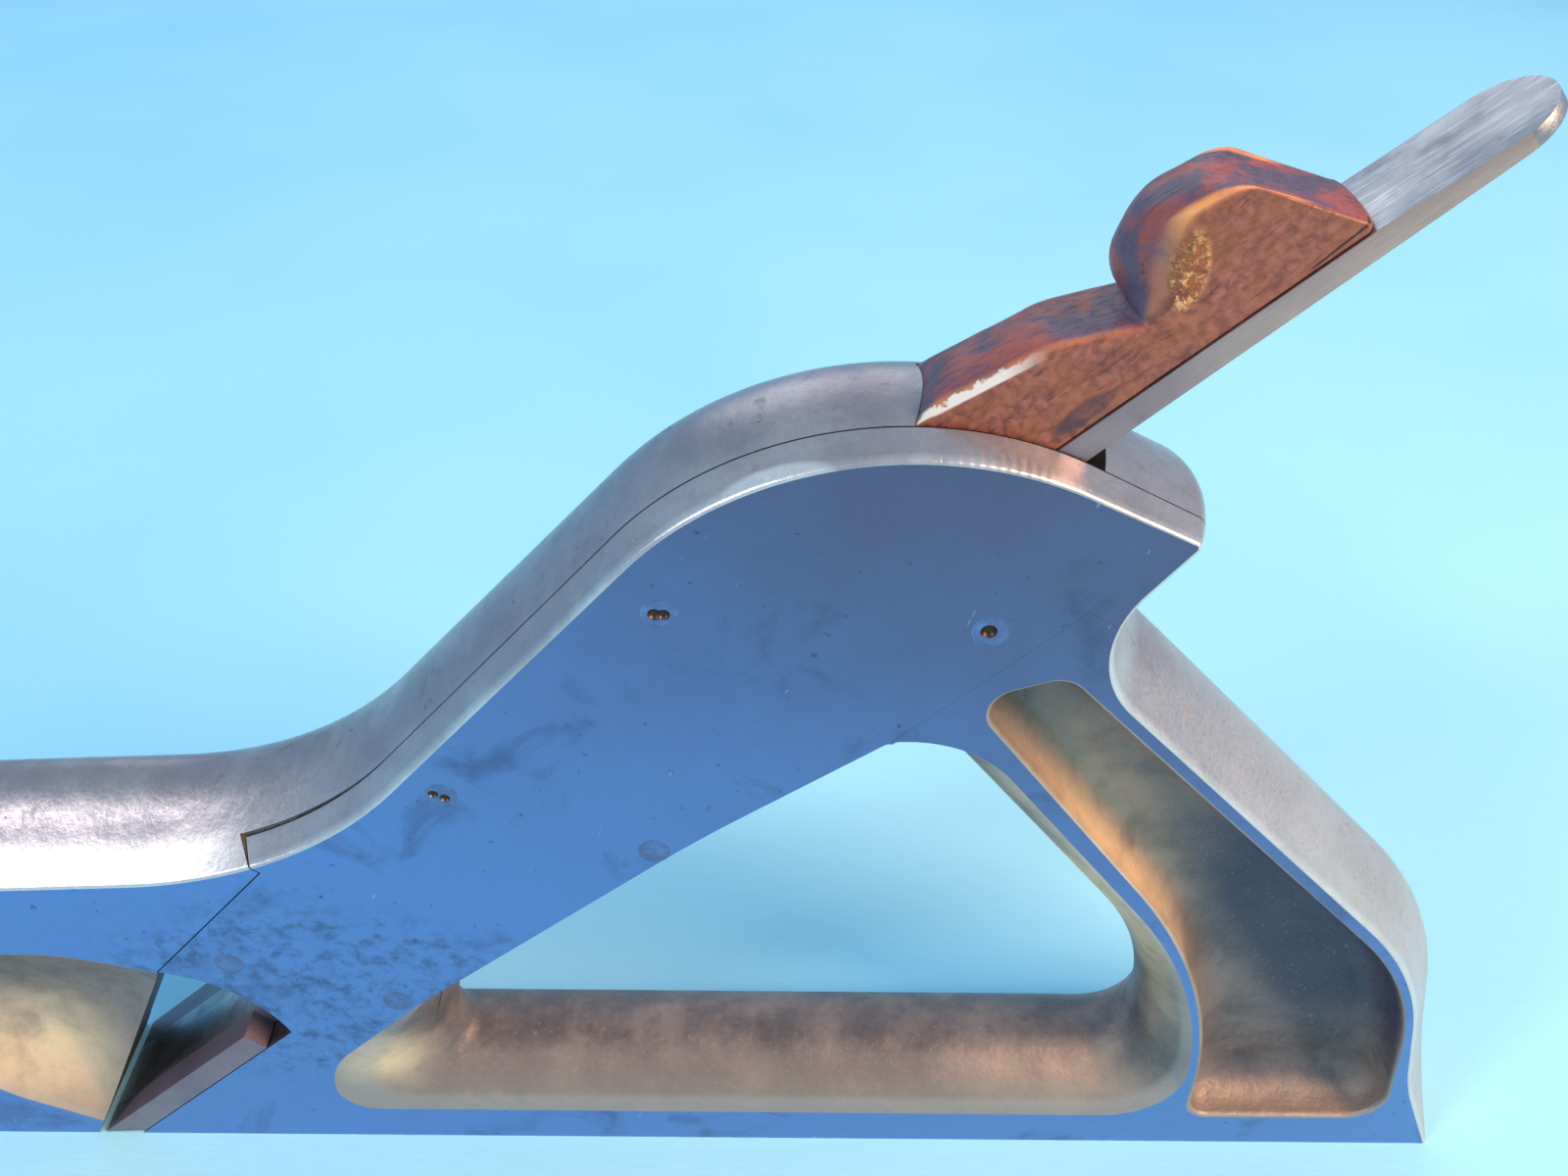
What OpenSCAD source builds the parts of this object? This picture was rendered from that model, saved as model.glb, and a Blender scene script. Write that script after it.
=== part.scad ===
// Cast rabbet plane with a side plate, a full width blade and a wooden wedge.
// Sole on Z = 0, nose towards -X, heel towards +X, mid plane on Y = 0, millimetres.

/* [Casting] */
// Length of the sole from nose to heel
body_length = 250; // [249:1:256]
// Width of the casting, equal to the cut width of the plane
body_width = 16; // [15.6:0.2:18]
// Height of the flat side where the toe meets the rising plate
toe_height = 49.5; // [48.5:0.5:50.5]
// Height of the rounding that stands above the flat side of the toe
toe_crown = 6.4; // [5:0.2:6.4]
// Rise of the rounded back of the rear strut above its flat sides
strut_crown = 3.9; // [3:0.1:4.5]
// Height of the flat side of the sole bar under the handle opening
bar_height = 6.4; // [6:0.1:7]
// Rise of the rounded top of the sole bar
bar_crown = 8; // [7:0.5:8]
// Bulge of the rounded heel beyond the flat sides at the sole
heel_crown = 2.2; // [1:0.2:2.6]
// Share of its rise by which a rounded edge leans towards the far side
crown_lean = 0.62; // [0:0.02:0.62]

/* [Bed and throat] */
// Angle between the blade bed and the sole
bed_angle = 43.6; // [43.2:0.2:44]
// Gap between the cutting edge and the front lip of the mouth
mouth_gap = 0.8; // [0.6:0.1:1.4]
// Slope of the front wall of the throat against the sole
throat_slope = 63.4; // [62:0.2:64]
// Radius of the arched roof of the throat
throat_radius = 17; // [16.8:0.1:17.4]
// Height along the bed of the middle of the throat arch
throat_middle_u = 18.5; // [18:0.1:18.8]
// Distance from the bed of the middle of the throat arch
throat_middle_v = 7.5; // [7.2:0.1:7.8]

/* [Side plate and pins] */
// Thickness of the side plate and of the far wall
plate_thickness = 3.4; // [3:0.1:3.6]
// Rounding of the plate beside the toe as a share of the rounding of the toe
plate_crown = 0.42; // [0.3:0.02:0.6]
// Width of the open seam round the plate
seam_width = 0.08; // [0.04:0.02:0.12]
// Diameter of the six pins
pin_diameter = 3.4; // [3:0.1:3.8]

/* [Blade and wedge] */
// Thickness of the blade at the mouth
blade_thickness = 3.3; // [3.1:0.1:3.4]
// Length of the blade from its cutting edge to its round end
blade_length = 194; // [190:1:198]
// Height along the bed of the shoulder of the cutting part
shoulder_height = 28.6; // [26:0.2:29]
// Free space round the sliding parts
slide_clearance = 0.15; // [0.1:0.01:0.2]
// Angle between the front wall of the channel and the bed
wedge_angle = 4.4; // [4.2:0.1:4.5]
// Space between the blade and the wedge
wedge_gap = 0.22; // [0.2:0.01:0.25]

/* [Hollows] */
// Depth of the hollows in both sides of the rear strut
pocket_depth = 6; // [5:0.2:6.4]
// Inward run of the rounded hollow walls
pocket_fillet = 3.6; // [3.2:0.1:3.7]
// Depth of the finger hollows beside the throat
scoop_depth = 5; // [4:0.2:6]

/* [Hidden] */
half_length = body_length / 2;
half_width = body_width / 2;
channel_width = body_width - 2 * plate_thickness;
shank_width = channel_width - 2 * slide_clearance;
wedge_width = shank_width - 0.2;
plate_inner = -half_width + plate_thickness;
mouth_x = -41.6;
edge_height = 0.25;
edge_clearance = 3.6;
past = 1;
pin_places = [
    [29.7, 88.2], [59.1, 86.5], [6.8, 64.4],
    [27.6, 56.4], [-21.1, 36.5], [-3.4, 29.6]
];

// Direction and its right hand normal for a heading in degrees
function along(h) = [cos(h), sin(h)];
function right_of(h) = [sin(h), -cos(h)];

// Crossing point of two lines given as x, z, heading
function meet(a, b) =
    let (d = along(a[2]), e = along(b[2]))
    let (s = ((b[0] - a[0]) * e[1] - (b[1] - a[1]) * e[0]) / (d[0] * e[1] - d[1] * e[0]))
    [a[0] + d[0] * s, a[1] + d[1] * s];

// Smallest turn from one heading to the next
function turn(a, b) = let (t = (b - a) % 360) t > 180 ? t - 360 : (t <= -180 ? t + 360 : t);

// Points of one rounded corner between two lines
function corner(a, b, r, n) =
    let (t = turn(a[2], b[2]), s = sign(t), m = meet(a, b))
    let (start = m - along(a[2]) * r * tan(abs(t) / 2))
    let (c = start + along(a[2] + 90 * s) * r)
    n == 0 || r == 0 ? [for (k = [0 : n]) m]
        : [for (k = [0 : n]) c + along(a[2] - 90 * s + t * k / n) * r];

// Closed outline: lines is a list of x, z, heading; turns a list of radius and steps
function outline(lines, turns) = [
    for (i = [0 : len(lines) - 1])
        each corner(lines[i], lines[(i + 1) % len(lines)], turns[i][0], turns[i][1])
];

// A line and its partner moved out by a rise, turned by lean degrees
function edge(x, z, h, rise, lean = 0) =
    [[x, z, h], [x + right_of(h)[0] * rise, z + right_of(h)[1] * rise, h + lean]];

// Share of the full rise at the depth y of a rounded edge
function swell(c, y, lean) =
    let (w = half_width, s = min(w, max(-w, y - lean * (1 - y * y / (w * w)))))
    c < 0.01 ? 0
        : c >= w ? sqrt(max(0, 1 - s * s / (w * w)))
        : let (r = (w * w + c * c) / (2 * c)) (sqrt(r * r - s * s) - r + c) / c;

// One level of a rounded edge between the rim and the crest
function level(rim, crest, y, lean) = [
    for (i = [0 : len(rim) - 1])
        let (rise = norm(crest[i] - rim[i]))
        let (p = rim[i] + (crest[i] - rim[i]) * swell(rise, y, lean * rise))
        [p[0], y, p[1]]
];

// Solid through a stack of outlines that run from the near side to the far side.
// Each end is closed by a fan round a hub that sees the whole outline.
module stack(loops, hub) {
    n = len(loops[0]);
    m = len(loops);
    near_y = loops[0][0][1];
    far_y = loops[m - 1][0][1];
    polyhedron(
        points = concat(
            [for (l = loops) each l],
            [[hub[0], near_y, hub[1]], [hub[0], far_y, hub[1]]]
        ),
        faces = concat(
            [for (i = [0 : n - 1]) [(i + 1) % n, i, n * m]],
            [for (k = [0 : m - 2]) for (i = [0 : n - 1])
                each [[k * n + i, k * n + (i + 1) % n, (k + 1) * n + (i + 1) % n],
                      [k * n + i, (k + 1) * n + (i + 1) % n, (k + 1) * n + i]]],
            [for (i = [0 : n - 1]) [(m - 1) * n + i, (m - 1) * n + (i + 1) % n, n * m + 1]]
        ),
        convexity = 8
    );
}

// Outer outline of the plane, rim on the flat sides and crest on the mid plane
function outer_edges(crown) = [
    [[0, 0, 0], [0, 0, 0]],
    [[half_length, 0, 115], [half_length + heel_crown, 0, 96]],
    edge(117.2, 20, 103.5, strut_crown + 1, 1),
    edge(103.1, 46.5, 134.4, strut_crown),
    edge(76.3, 96.2, 55, 2.7),
    edge(73.6, 97.4, 154.3, 1.5, -3.4),
    edge(24.3, 90.4, 228.6, 3.1, -1),
    edge(-37, toe_height, 183.2, crown),
    [[-half_length, 0, 250.2], [-half_length, 0, 270]]
];
outer_rim_turns = [
    [0, 0], [40, 2], [40, 5], [11, 5], [0.6, 2], [33, 8], [45, 8], [28, 6], [0, 0]
];
outer_crest_turns = [
    [0, 0], [9, 2], [43, 5], [7, 5], [2.5, 2], [35, 8], [40, 8], [33, 6], [0, 0]
];
round_levels = [-90, -72, -57, -43, -29, -14, 0, 14, 29, 43, 57, 72, 90];

module blank(crown) {
    e = outer_edges(crown);
    rim = outline([for (p = e) p[0]], outer_rim_turns);
    crest = outline([for (p = e) p[1]], outer_crest_turns);
    stack([for (a = round_levels) level(rim, crest, half_width * sin(a), crown_lean)], [-20, 20]);
}

// Handle opening with a round bar below, a round strut behind and a spoon shaped front end
opening_edges = [
    edge(36, bar_height, 0, -bar_crown),
    edge(90.6, 17, 95, -5.2),
    edge(70.7, 57.5, 127.4, -3.6),
    edge(55, 72.6, 180, 0),
    edge(50.6, 72.2, 217.2, 0),
    edge(2.9, 32.4, 221.4, 0),
    [[-5.6, 24.1, 226], [2.9, 32.4, 260]],
    [[-13.95, 10.8, 270], [0.9, 17, 300]]
];
opening_rim_turns = [[9, 4], [55, 6], [13, 5], [1.5, 1], [150, 2], [10, 3], [10.5, 4], [4.5, 4]];
opening_crest_turns = [[6, 4], [45, 6], [4.6, 5], [1, 1], [150, 2], [5, 3], [4, 4], [2, 4]];

module opening() {
    rim = outline([for (p = opening_edges) p[0]], opening_rim_turns);
    crest = outline([for (p = opening_edges) p[1]], opening_crest_turns);
    stack(concat(
        [[for (p = rim) [p[0], -half_width - past, p[1]]]],
        [for (a = round_levels) level(rim, crest, half_width * sin(a), 0)],
        [[for (p = rim) [p[0], half_width + past, p[1]]]]
    ), [50, 40]);
}

// Hollow in the near side of the strut with a rounded floor edge
pocket_edges = [
    edge(100, bar_height, 0, -pocket_fillet),
    edge(116.2, 15, 98.5, -pocket_fillet),
    edge(93.3, 54, 134.4, -pocket_fillet),
    edge(64, 79.9, 200, -pocket_fillet),
    edge(68.4, 64.5, 307, -pocket_fillet),
    edge(92.5, 14, 272, -pocket_fillet)
];
pocket_rim_turns = [[4.5, 4], [36, 5], [3, 3], [3, 4], [66, 6], [3, 3]];
pocket_floor_turns = [[2, 4], [32, 5], [0.8, 3], [0.8, 4], [68, 6], [1, 3]];

module pocket() {
    rim = outline([for (p = pocket_edges) p[0]], pocket_rim_turns);
    deep = outline([for (p = pocket_edges) p[1]], pocket_floor_turns);
    function ply(f, y) = [
        for (i = [0 : len(rim) - 1])
            let (p = rim[i] + (deep[i] - rim[i]) * f) [p[0], y, p[1]]
    ];
    stack(concat(
        [ply(0, -half_width - past)],
        [for (a = [90 : -18 : 0])
            ply(1 - sin(a), -half_width + 0.8 + (pocket_depth - 0.8) * cos(a))]
    ), [101.9, 33.4]);
}

// Finger hollow beside the throat, a shallow bowl that runs out into the throat
scoop_lines = [
    [-34, 20, 63.4], [-33, 35.7, 162], [-42.5, 37.9, 180], [-61, 22, 270], [-51.5, 6.5, 328]
];
scoop_turns = [[2, 2], [27, 3], [15.6, 8], [17, 6], [2, 2]];

module scoop() {
    rim = outline(scoop_lines, scoop_turns);
    middle = [-50, 21.5];
    stack([for (f = [-0.08, 0, 0.1, 0.25, 0.42, 0.6, 0.82])
        [for (p = rim)
            let (q = p + (middle - p) * f)
            [q[0], -half_width + scoop_depth * (1 - (1 - f) * (1 - f)), q[1]]]
    ], middle);
}

// Frame of the bed: X runs up the bed, Z stands square to it
module on_bed() {
    translate([mouth_x, 0, 0])
        rotate([0, -bed_angle, 0])
            children();
}

// Straight prism along Y from points in bed coordinates
module bed_prism(points, width) {
    on_bed()
        rotate([90, 0, 0])
            linear_extrude(height = width, center = true)
                polygon(points);
}

// Place of the cutting edge on the bed, and heights on the blade face
cut_u = (edge_height - blade_thickness * cos(bed_angle)) / sin(bed_angle);
tip_u = cut_u + blade_length;
end_u = tip_u - 15;
wedge_tip_u = 34;
wedge_exit_u = 139.5;
thin_u = wedge_exit_u + 10.5;
thin_thickness = blade_thickness - 0.9;
end_thickness = blade_thickness - 1.8;
tip_thickness = 1.15;
shank_fall = atan((blade_thickness - thin_thickness) / thin_u);
end_fall = atan((thin_thickness - end_thickness) / (end_u - thin_u));
function blade_top(u) = u < thin_u ? blade_thickness - u * tan(shank_fall)
    : thin_thickness - (u - thin_u) * tan(end_fall);
wall_exit_v = 12.5;
function wall_top(u) = wall_exit_v - (wedge_exit_u - u) * tan(wedge_angle);

// Foot of the front wall of the throat, set out from the cutting edge
cut_x = mouth_x + cut_u * cos(bed_angle) - blade_thickness * sin(bed_angle);
lip_x = cut_x - mouth_gap - edge_height / tan(throat_slope);
lip = [
    (lip_x - mouth_x) * cos(bed_angle),
    -(lip_x - mouth_x) * sin(bed_angle)
];
wall_heading = throat_slope - bed_angle;

// Throat under the arched roof, open through both sides and through the sole
module throat() {
    bed_prism([
        [-4, -slide_clearance], [throat_middle_u, -slide_clearance],
        [throat_middle_u, lip[1] + (throat_middle_u - lip[0]) * tan(wall_heading)],
        [lip[0] - 6 * cos(wall_heading), lip[1] - 6 * sin(wall_heading)], [-9, -6]
    ], body_width + 2 * past);
    intersection() {
        bed_prism([
            [throat_middle_u - 1, -slide_clearance], [60, -slide_clearance], [60, 60],
            [lip[0] + 60 * cos(wall_heading), lip[1] + 60 * sin(wall_heading)],
            [throat_middle_u - 1, lip[1] + (throat_middle_u - 1 - lip[0]) * tan(wall_heading)]
        ], body_width + 2 * past);
        on_bed()
            translate([throat_middle_u, 0, throat_middle_v])
                rotate([90, 0, 0])
                    cylinder(r = throat_radius, h = body_width + 2 * past, center = true, $fn = 96);
    }
}

// Channel for the blade and the wedge, relieved behind the blade near its top
module channel() {
    bed_prism([
        [throat_middle_u, -slide_clearance], [112, -slide_clearance], [170, -2.7],
        [170, wall_top(170)], [throat_middle_u + 8, wall_top(throat_middle_u + 8)],
        [throat_middle_u, 4]
    ], channel_width);
}

// Zone of the side plate between its seams, shrunk all round by a gap
module plate_zone(gap) {
    lines = [
        [-12, 22.45 + gap, 358], [30, 46, 42], [50.5 + gap / 2, 60, 90],
        [59.8 - gap * 0.7, 81.1 + gap * 0.7, 44.6], [69 + gap * 0.56, 87.95 + gap * 0.83, 326],
        [95, 90, 90], [60, 125, 180], [-60, 100, 270],
        [-14.1 + gap * 0.67, 52.3 + gap * 0.74, 318],
        [-21.9 + gap * 0.74, 43.6 - gap * 0.67, 228.1], [-29.8, 34.7, 292]
    ];
    points = [for (i = [0 : len(lines) - 1]) meet(lines[i], lines[(i + 1) % len(lines)])];
    translate([0, plate_inner, 0])
        rotate([90, 0, 0])
            linear_extrude(height = plate_thickness + past)
                polygon(points);
}

module pin_holes() {
    for (p = pin_places)
        translate([p[0], 0, p[1]])
            rotate([90, 0, 0])
                cylinder(d = pin_diameter, h = body_width + 2 * past, center = true, $fn = 48);
}

module pin(i) {
    color([0.36, 0.37, 0.4])
        translate([pin_places[i][0], 0, pin_places[i][1]])
            rotate([90, 0, 0])
                cylinder(d = pin_diameter, h = body_width, center = true, $fn = 48);
}

module casting() {
    color([0.42, 0.4, 0.38])
        difference() {
            blank(toe_crown);
            opening();
            throat();
            channel();
            plate_zone(0);
            pocket();
            mirror([0, 1, 0]) pocket();
            scoop();
            mirror([0, 1, 0]) scoop();
            pin_holes();
        }
}

module side_plate() {
    color([0.36, 0.4, 0.5])
        difference() {
            intersection() {
                blank(toe_crown * plate_crown);
                plate_zone(seam_width);
            }
            opening();
            throat();
            scoop();
            pin_holes();
        }
}

// Blade with a full width cutting part, a narrow shank and a round thin end
module blade() {
    color([0.5, 0.5, 0.52])
        intersection() {
            bed_prism([
                [cut_u, blade_thickness],
                [cut_u + blade_thickness / tan(bed_angle - edge_clearance), 0],
                [tip_u, 0], [tip_u, tip_thickness], [end_u, end_thickness], [thin_u, thin_thickness]
            ], body_width);
            on_bed()
                translate([0, 0, -past])
                    linear_extrude(height = 6)
                        union() {
                            translate([cut_u - 1, -half_width])
                                square([shoulder_height - cut_u + 1, body_width]);
                            translate([cut_u + 2, -shank_width / 2])
                                square([tip_u - cut_u - 2 - shank_width / 2, shank_width]);
                            translate([tip_u - shank_width / 2, 0])
                                circle(d = shank_width, $fn = 64);
                        }
        }
}

// Wedge with a long straight stem and a carved head with a finger notch,
// as outlines in bed coordinates of u, v, heading
wedge_under = blade_top(wedge_exit_u) + wedge_gap;
wedge_over = wall_top(wedge_exit_u) - slide_clearance;
stem_lines = [
    [wedge_exit_u, wedge_over, 180 + wedge_angle],
    [wedge_tip_u, 3, 270]
];
under_lines = [
    [wedge_exit_u, wedge_under, -shank_fall],
    [thin_u, thin_thickness + wedge_gap, -end_fall]
];
wedge_rim_lines = concat(under_lines, [
    [wedge_exit_u + 35.5, 4, 116],
    [wedge_exit_u + 29.3, 11.3, 175],
    [wedge_exit_u + 25, 9, 219],
    [wedge_exit_u + 21.5, 7.1, 203],
    [wedge_exit_u + 17.5, 8.1, 152],
    [wedge_exit_u + 8.7, 10.8, 169],
    [wedge_exit_u, wedge_over, 179 + wedge_angle]
], stem_lines);
wedge_crest_lines = concat(under_lines, [
    [wedge_exit_u + 36, 3.7, 124],
    [wedge_exit_u + 27, 13.4, 170],
    [wedge_exit_u + 21.1, 12.6, 207],
    [wedge_exit_u + 19.3, 10.6, 266],
    [wedge_exit_u + 16.5, 8.9, 152],
    [wedge_exit_u + 7.5, 12.3, 167],
    [wedge_exit_u, wedge_over, 187]
], stem_lines);
wedge_rim_turns = [
    [0, 0], [0.6, 2], [2.4, 3], [2.6, 3], [3, 1], [1, 2], [10, 2], [2.5, 2], [0, 0], [0, 0], [0, 0]
];
wedge_crest_turns = [
    [0, 0], [0.4, 2], [3, 3], [3, 3], [1.5, 1], [0.6, 2], [10, 2], [6, 2], [0, 0], [0, 0], [0, 0]
];
wedge_levels = [-90, -66, -45, -22, 0, 22, 45, 66, 90];

module wedge() {
    rim = outline(wedge_rim_lines, wedge_rim_turns);
    crest = outline(wedge_crest_lines, wedge_crest_turns);
    w = wedge_width / 2;
    color([0.4, 0.2, 0.12])
        on_bed()
            stack([for (a = wedge_levels)
                [for (i = [0 : len(rim) - 1])
                    let (p = rim[i] + (crest[i] - rim[i]) * cos(a)) [p[0], w * sin(a), p[1]]]
            ], [wedge_exit_u + 21.5, 4.1]);
}

module pin_crown() { pin(0); }
module pin_tail() { pin(1); }
module pin_flank() { pin(2); }
module pin_middle() { pin(3); }
module pin_toe() { pin(4); }
module pin_low() { pin(5); }

// Node to draw

casting();
side_plate();
blade();
wedge();
pin_crown();
pin_tail();
pin_flank();
pin_middle();
pin_toe();
pin_low();
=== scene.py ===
from math import atan, cos, degrees, pi, radians, sin, sqrt, tan

import bpy
from mathutils import Matrix, Vector
from mathutils.noise import noise as noise_at


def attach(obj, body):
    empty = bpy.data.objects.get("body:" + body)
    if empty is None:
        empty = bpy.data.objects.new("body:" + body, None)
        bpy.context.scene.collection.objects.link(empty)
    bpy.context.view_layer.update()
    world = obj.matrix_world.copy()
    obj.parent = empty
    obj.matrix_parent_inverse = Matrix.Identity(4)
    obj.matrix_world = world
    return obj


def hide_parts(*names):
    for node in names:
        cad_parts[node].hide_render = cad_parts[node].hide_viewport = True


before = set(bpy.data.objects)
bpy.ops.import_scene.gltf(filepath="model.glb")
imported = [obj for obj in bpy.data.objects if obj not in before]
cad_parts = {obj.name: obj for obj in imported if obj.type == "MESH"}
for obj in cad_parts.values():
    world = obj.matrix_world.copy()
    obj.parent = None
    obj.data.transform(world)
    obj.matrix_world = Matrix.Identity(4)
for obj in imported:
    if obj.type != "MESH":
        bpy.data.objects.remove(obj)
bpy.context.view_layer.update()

bpy.ops.object.select_all(action="DESELECT")

# Viewpoint
# The plane stands on its sole and is seen from its near side and a little above,
# close enough for the nose to fall outside the picture.
camera_place = Vector((0.04019, -0.09734, 0.16239))
camera_pitch = radians(38.52)
camera_yaw = radians(0.30)
camera_roll = radians(-0.76)
sensor_width = 36.0
picture_width = 1600
focal_pixels = 1343.8

forward = Vector((
    sin(camera_yaw) * cos(camera_pitch),
    cos(camera_yaw) * cos(camera_pitch),
    -sin(camera_pitch),
))
level_right = Vector((cos(camera_yaw), -sin(camera_yaw), 0.0))
level_down = forward.cross(level_right)
right = cos(camera_roll) * level_right + sin(camera_roll) * level_down
down = -sin(camera_roll) * level_right + cos(camera_roll) * level_down
turned = Matrix((right, -down, -forward)).transposed().to_4x4()

bpy.ops.object.camera_add()
camera = bpy.context.object
camera.name = "camera"
camera.matrix_world = Matrix.Translation(camera_place) @ turned
camera.data.sensor_width = sensor_width
camera.data.lens = focal_pixels * sensor_width / picture_width
camera.data.clip_start = 0.01
bpy.context.scene.camera = camera
bpy.context.scene.view_settings.view_transform = "Standard"


# Floor and light
# A wide sheet of pale blue card lies under the plane and throws its blue back.
# A window shines from the left, a warm lamp from the right and a dim one from behind.
def linear(red, green, blue):
    """Scene colour of a colour that is written as it looks, 0 to 255."""
    def channel(v):
        v = v / 255
        return v / 12.92 if v <= 0.04045 else ((v + 0.055) / 1.055) ** 2.4
    return (channel(red), channel(green), channel(blue), 1.0)


def add_node(tree, kind, inputs=None, **settings):
    """New shader node with its settings, and its inputs linked or set."""
    made = tree.nodes.new(kind)
    for name, value in settings.items():
        setattr(made, name, value)
    for name, value in (inputs or {}).items():
        if isinstance(value, bpy.types.NodeSocket):
            tree.links.new(value, made.inputs[name])
        else:
            made.inputs[name].default_value = value
    return made


def new_material(name):
    """Material with an empty node tree."""
    material = bpy.data.materials.new(name)
    material.use_nodes = True
    material.node_tree.nodes.clear()
    return material


def in_mm(tree, stretch=(1, 1, 1), turn_y=0.0, shift=(0, 0, 0)):
    """Object coordinates in millimetres, turned about Y and then stretched."""
    place = add_node(tree, "ShaderNodeTexCoord")
    turned_place = add_node(tree, "ShaderNodeMapping", {
        "Vector": place.outputs["Object"],
        "Rotation": (0, turn_y, 0),
        "Scale": (1000, 1000, 1000),
        "Location": shift,
    })
    scaled = add_node(tree, "ShaderNodeVectorMath", {
        0: turned_place.outputs[0], 1: stretch}, operation="MULTIPLY")
    return scaled.outputs[0]


def noise(tree, place, size, detail=4.0, rough=0.55, warp=0.0):
    """Cloudy pattern from 0 to 1 whose lumps are about size millimetres."""
    return add_node(tree, "ShaderNodeTexNoise", {
        "Vector": place, "Scale": 1 / size, "Detail": detail,
        "Roughness": rough, "Distortion": warp}).outputs["Fac"]


def between(tree, value, low, high, bottom=0.0, top=1.0):
    """Smooth step of a value from low to high."""
    return add_node(tree, "ShaderNodeMapRange", {
        "Value": value, "From Min": low, "From Max": high,
        "To Min": bottom, "To Max": top}, interpolation_type="SMOOTHSTEP").outputs[0]


def maths(tree, operation, a, b=0.0, c=0.0):
    """One sum on one, two or three values."""
    return add_node(tree, "ShaderNodeMath", {0: a, 1: b, 2: c}, operation=operation).outputs[0]


def spot(tree, place, centre, reach, core=0.75):
    """Soft mark round a centre that fades from its core to its reach along each axis."""
    away = add_node(tree, "ShaderNodeVectorMath", {0: place, 1: centre}, operation="SUBTRACT")
    share = add_node(tree, "ShaderNodeVectorMath", {0: away.outputs[0], 1: reach}, operation="DIVIDE")
    length = add_node(tree, "ShaderNodeVectorMath", {0: share.outputs[0]}, operation="LENGTH")
    return between(tree, length.outputs["Value"], 1.15, core)


def blend_colour(tree, share, a, b):
    """Colour a with colour b laid over it by a share."""
    made = add_node(tree, "ShaderNodeMix", data_type="RGBA")
    for socket, value in ((0, share), (6, a), (7, b)):
        if isinstance(value, bpy.types.NodeSocket):
            tree.links.new(value, made.inputs[socket])
        else:
            made.inputs[socket].default_value = value
    return made.outputs[2]


def bump(tree, height, depth_mm, below=None):
    """Normal of a relief whose height runs from 0 to 1 over depth_mm."""
    inputs = {"Height": height, "Strength": 1.0, "Distance": depth_mm / 1000}
    if below is not None:
        inputs["Normal"] = below
    return add_node(tree, "ShaderNodeBump", inputs).outputs[0]


def finish_material(material, colour, rough, metal, normal, **fixed):
    """Shader and output of a material, with fixed values set on its sockets."""
    tree = material.node_tree
    shader = add_node(tree, "ShaderNodeBsdfPrincipled", {
        "Base Color": colour, "Roughness": rough, "Metallic": metal, "Normal": normal})
    for name, value in fixed.items():
        shader.inputs[name.replace("_", " ")].default_value = value
    output = add_node(tree, "ShaderNodeOutputMaterial")
    tree.links.new(shader.outputs[0], output.inputs[0])
    return material


card_colour = linear(178, 238, 253)
card_deep = linear(164, 228, 251)
card_width = 6.0
card_cells = 12

card_paint = new_material("blue_card")
tree = card_paint.node_tree
place = in_mm(tree)
clouds = noise(tree, place, 130, 2.0)
fibres = noise(tree, in_mm(tree, (1, 5, 1)), 4.0, 5.0)
colour = blend_colour(tree, between(tree, clouds, 0.3, 0.75, 0, 0.7), card_colour, card_deep)
colour = blend_colour(tree, between(tree, fibres, 0.45, 0.75, 0, 0.16), colour, card_deep)
finish_material(card_paint, colour, 0.85, 0.0, bump(tree, fibres, 0.06), Specular_IOR_Level=0.15)

bpy.ops.mesh.primitive_grid_add(x_subdivisions=card_cells, y_subdivisions=card_cells, size=card_width)
card = bpy.context.object
card.name = "card_floor"
card.data.materials.append(card_paint)

world = bpy.data.worlds.new("room")
bpy.context.scene.world = world
world.use_nodes = True
world_colour = linear(150, 205, 245)
world_level = 0.78
world.node_tree.nodes["Background"].inputs[0].default_value = world_colour
world.node_tree.nodes["Background"].inputs[1].default_value = world_level


def soft_lamp(name, place, target, size, power, colour):
    """Large soft lamp at a place, turned to a target."""
    bpy.ops.object.light_add(type="AREA", location=place)
    lamp = bpy.context.object
    lamp.name = name
    lamp.rotation_euler = (Vector(target) - Vector(place)).to_track_quat("-Z", "Y").to_euler()
    lamp.data.shape = "RECTANGLE"
    lamp.data.size = size[0]
    lamp.data.size_y = size[1]
    lamp.data.energy = power
    lamp.data.color = colour


window_white = (1.0, 0.97, 0.95)
lamp_amber = (1.0, 0.66, 0.40)
wall_white = (1.0, 0.97, 0.98)
plane_middle = (0.02, 0, 0.04)
plane_top = (0.02, 0, 0.08)
soft_lamp("window_lamp", (-0.60, -0.42, 0.60), plane_middle, (0.16, 0.16), 2.6, window_white)
soft_lamp("warm_lamp", (0.62, -0.26, 0.52), plane_middle, (0.34, 0.34), 7.2, lamp_amber)
soft_lamp("back_lamp", (-0.10, 0.85, 0.62), plane_top, (0.9, 0.5), 1.5, wall_white)


# Casting
# One piece of sand cast iron: toe, far wall, core under the blade, strut, bar and heel.
# Its sides and sole are ground flat, and its edges are filed round by hand.
mm = 0.001
body_length = 250
body_width = 16
half_length = body_length / 2
half_width = body_width / 2
toe_height = 49.5
toe_crown = 6.4
strut_crown = 3.9
bar_height = 6.4
bar_crown = 8
heel_crown = 2.2
crown_lean = 0.62
rim_wear = 0.28
bevel_depth = 4.2
wide_bevel = 5.9
fine = 6
depth_steps = 36
past = 1
smooth_angle = 28


def along(heading):
    """Direction of a heading in degrees."""
    return Vector((cos(radians(heading)), sin(radians(heading))))


def meet(a, b):
    """Crossing point of two lines given as x, z, heading."""
    d, e = along(a[2]), along(b[2])
    reach = ((b[0] - a[0]) * e.y - (b[1] - a[1]) * e.x) / (d.x * e.y - d.y * e.x)
    return Vector((a[0], a[1])) + d * reach


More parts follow.
